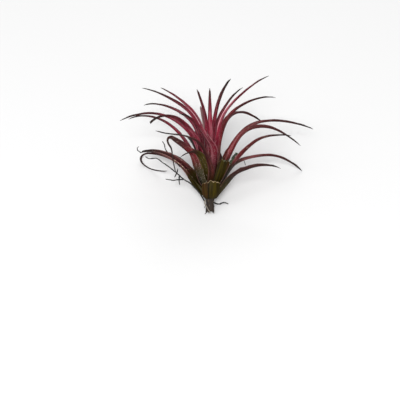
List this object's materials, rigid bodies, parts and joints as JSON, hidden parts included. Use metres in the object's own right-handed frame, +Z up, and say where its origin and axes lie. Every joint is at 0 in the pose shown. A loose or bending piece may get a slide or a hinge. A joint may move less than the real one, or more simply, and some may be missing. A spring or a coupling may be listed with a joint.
{
  "type": "sky plant",
  "caption": "Small air plant picked whole, leaning back: narrow channelled red leaves arch out of olive sheaths round a short stem with a dry stub and wiry roots.",
  "frame": {"origin": "middle of the underside of the plant's box, on the surface that the plant rests on", "axes": "+Z up, +Y the way the stem leans back, away from the viewer, +X to the right as seen in the picture"},
  "size_m": [0.1144, 0.075, 0.0648],
  "materials": {
    "leaf_red": "crimson leaf with fine silvery scales, grey-green sheath and dark dry tip",
    "leaf_dark": "dark maroon leaf with fine silvery scales and an olive base",
    "leaf_olive": "olive green leaf, browning towards the margins and the tip",
    "stem": "dry fibrous brown stem",
    "root": "dark wiry root"
  },
  "bodies": {
    "root": {"leaf_back_1": "leaf_dark", "leaf_back_2": "leaf_dark", "leaf_back_3": "leaf_red", "leaf_back_4": "leaf_red", "leaf_back_5": "leaf_red", "leaf_back_6": "leaf_red", "leaf_back_7": "leaf_red", "leaf_front_1": "leaf_dark", "leaf_front_2": "leaf_olive", "leaf_front_3": "leaf_red", "leaf_heart_1": "leaf_red", "leaf_heart_2": "leaf_red", "leaf_heart_3": "leaf_red", "leaf_left_1": "leaf_olive", "leaf_left_2": "leaf_olive", "leaf_left_3": "leaf_red", "leaf_left_4": "leaf_dark", "leaf_left_5": "leaf_red", "leaf_left_6": "leaf_red", "leaf_left_7": "leaf_red", "leaf_left_8": "leaf_red", "leaf_left_9": "leaf_red", "leaf_right_1": "leaf_olive", "leaf_right_2": "leaf_dark", "leaf_right_3": "leaf_dark", "leaf_right_4": "leaf_red", "leaf_right_5": "leaf_red", "leaf_right_6": "leaf_red", "leaf_right_7": "leaf_dark", "leaf_right_8": "leaf_red", "leaf_right_9": "leaf_red", "leaf_torn": "leaf_olive", "root_dry": "root", "root_long": "root", "root_short": "root", "root_upper": "root", "stem": "stem", "stump_front": "leaf_olive", "stump_left": "leaf_olive"}
  },
  "joints": []
}
